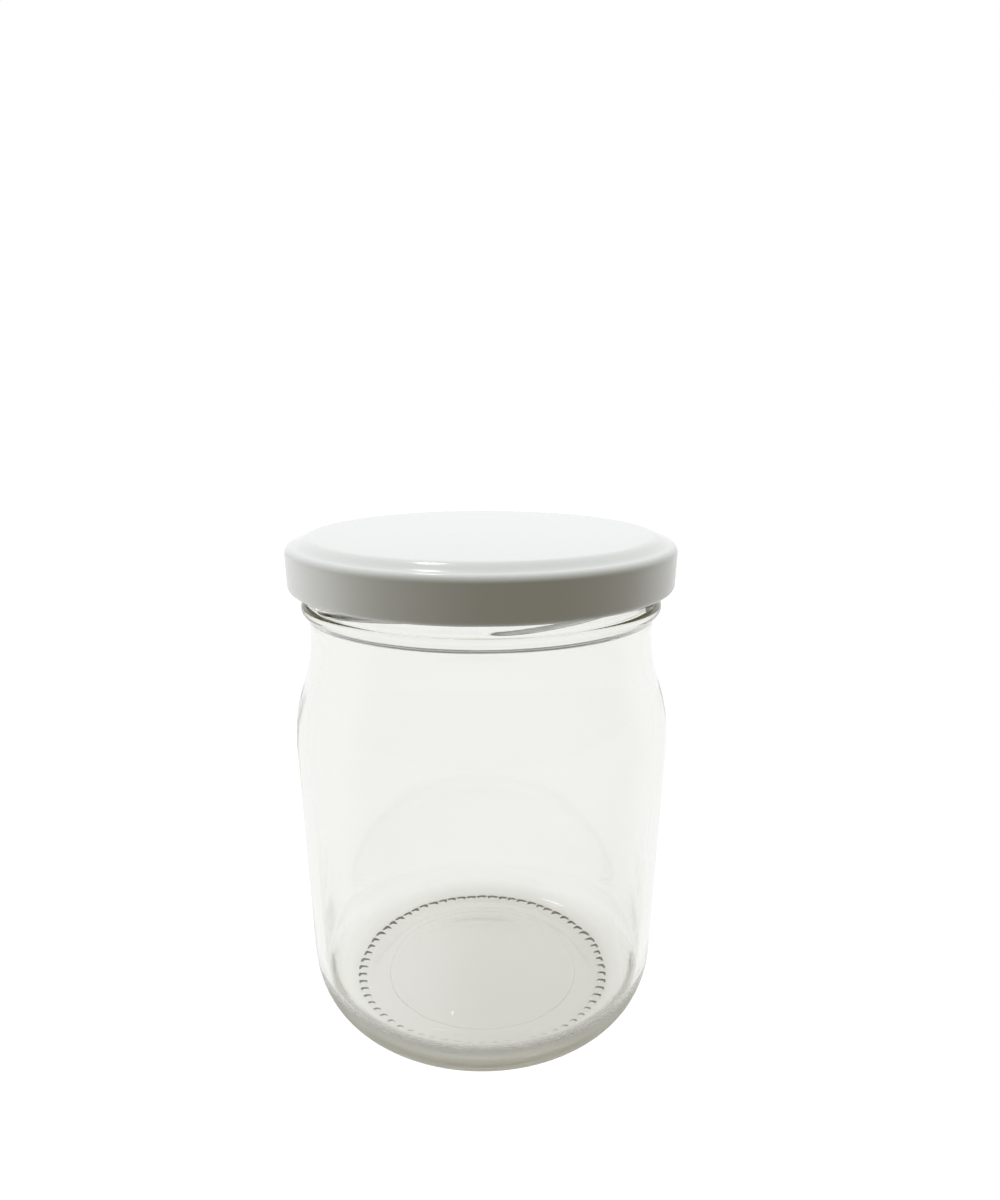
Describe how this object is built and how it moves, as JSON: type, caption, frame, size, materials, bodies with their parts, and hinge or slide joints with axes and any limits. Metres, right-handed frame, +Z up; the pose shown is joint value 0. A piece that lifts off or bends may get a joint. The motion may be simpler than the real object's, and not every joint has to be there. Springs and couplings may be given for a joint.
{
  "type": "canning jar",
  "caption": "Empty clear glass canning jar with rounded shoulder, moulded bead and screw ridges, closed by a white enamelled twist-off metal lid.",
  "frame": {"origin": "centre of the ring the jar stands on, at the lowest plane of the glass", "axes": "+Z up along the axis of the jar, towards the lid; -Y towards the front as seen in the picture; +X to the right"},
  "size_m": [0.0874, 0.0874, 0.1178],
  "materials": {
    "clear_glass": "clear colourless flint glass, moulded, smooth and glossy",
    "white_enamel": "gloss white enamel on thin pressed steel"
  },
  "bodies": {
    "root": {"glass_jar": "clear_glass", "twist_off_lid": "white_enamel"}
  },
  "joints": []
}
